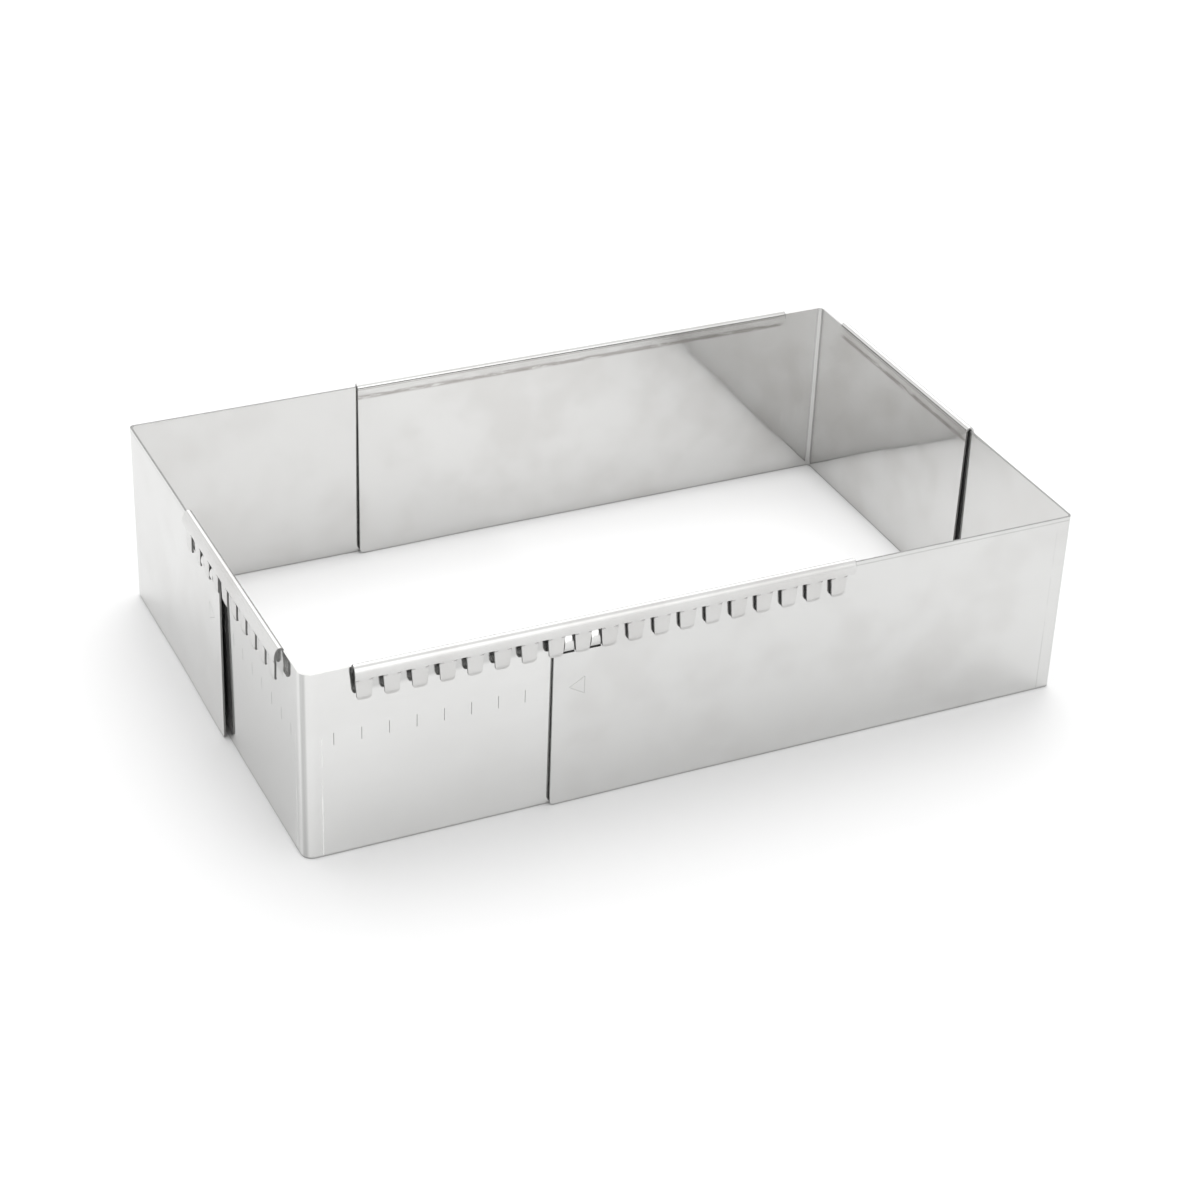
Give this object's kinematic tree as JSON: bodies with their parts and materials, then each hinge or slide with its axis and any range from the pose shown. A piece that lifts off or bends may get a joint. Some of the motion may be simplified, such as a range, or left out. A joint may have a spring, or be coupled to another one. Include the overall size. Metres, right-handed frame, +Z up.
{
  "type": "adjustable cake frame",
  "caption": "Rectangular cake frame of bent stainless corner sheets; tongued hems guide the plain corners, so its length and width slide to size.",
  "frame": {"origin": "middle of the frame, on the surface that it stands on", "axes": "+X along the long front wall to the right, +Y from the front wall to the back wall, +Z up"},
  "size_m": [0.305, 0.195, 0.0761],
  "materials": {
    "hemmed_sheet": "bright cold-rolled stainless, fairly mirror-like with a slight haze",
    "plain_sheet": "bright cold-rolled stainless, fairly mirror-like with a slight haze"
  },
  "bodies": {
    "front_left": {"hemmed_corner_front_left": "hemmed_sheet"},
    "front_right": {"plain_corner_front_right": "plain_sheet"},
    "back_left": {"plain_corner_back_left": "plain_sheet"},
    "back_right": {"hemmed_corner_back_right": "hemmed_sheet"}
  },
  "joints": [
    {"name": "length_slide", "type": "slide", "parent": "front_left", "child": "front_right", "axis": [1, 0, 0], "range_m": [-0.08, 0.09]},
    {"name": "width_slide", "type": "slide", "parent": "front_left", "child": "back_left", "axis": [0, 1, 0], "range_m": [-0.07, 0.01]},
    {"name": "width_slide_right", "type": "slide", "parent": "front_right", "child": "back_right", "axis": [0, 1, 0], "range_m": [-0.07, 0.01]}
  ],
  "couplings": [
    {"joint": "width_slide_right", "follows": "width_slide", "ratio": 1}
  ]
}
